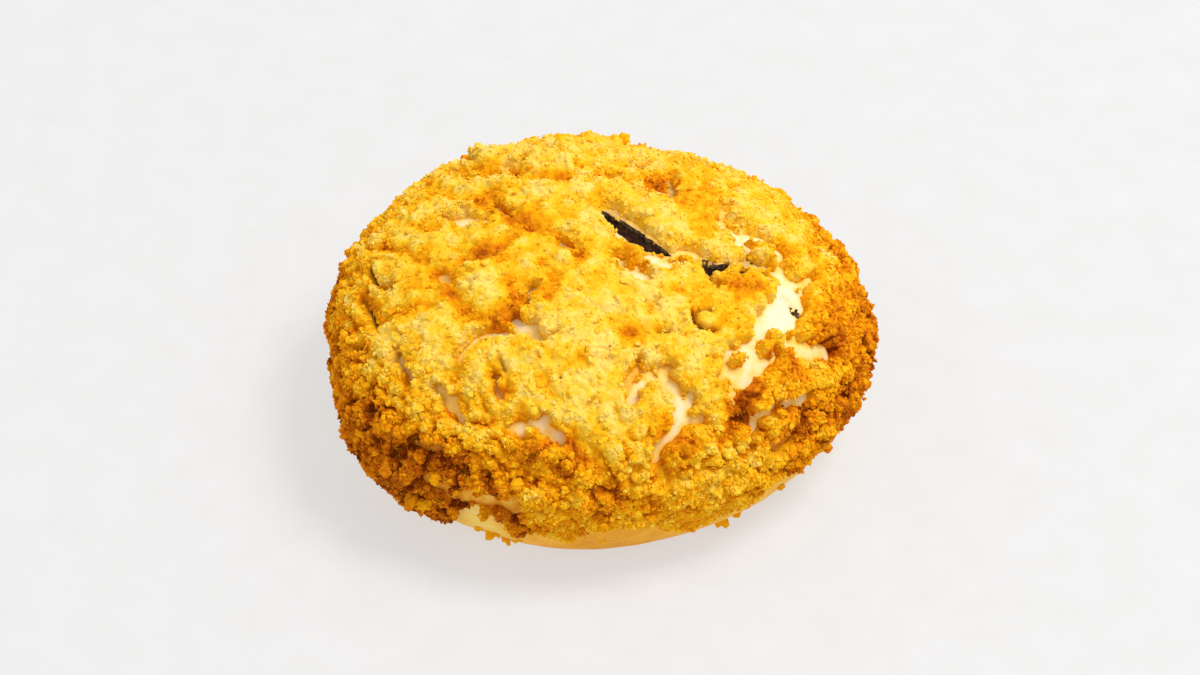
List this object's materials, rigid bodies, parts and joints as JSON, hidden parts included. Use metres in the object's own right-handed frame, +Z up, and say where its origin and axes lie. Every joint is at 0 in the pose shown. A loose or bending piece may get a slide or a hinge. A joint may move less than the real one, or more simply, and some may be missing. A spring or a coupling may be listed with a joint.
{
  "type": "red bean bun",
  "caption": "Round red bean bun: a soft baked roll under a broken golden crumb crust, split on top so that its dark bean paste shows.",
  "frame": {"origin": "the middle of the flat base that the bun stands on", "axes": "+Z up out of the crumb crust, +X along the bun's longest side, towards which the split runs"},
  "size_m": [0.0992, 0.0912, 0.0445],
  "materials": {
    "roll": "soft baked bread skin, matt, pale cream to golden",
    "crumb_crust": "dry baked butter crumbs, matt, golden yellow with orange and brown edges",
    "bean_paste": "moist dark bean paste, slightly shiny"
  },
  "bodies": {
    "root": {"roll": "roll", "crumb_crust": "crumb_crust", "bean_paste": "bean_paste"}
  },
  "joints": []
}
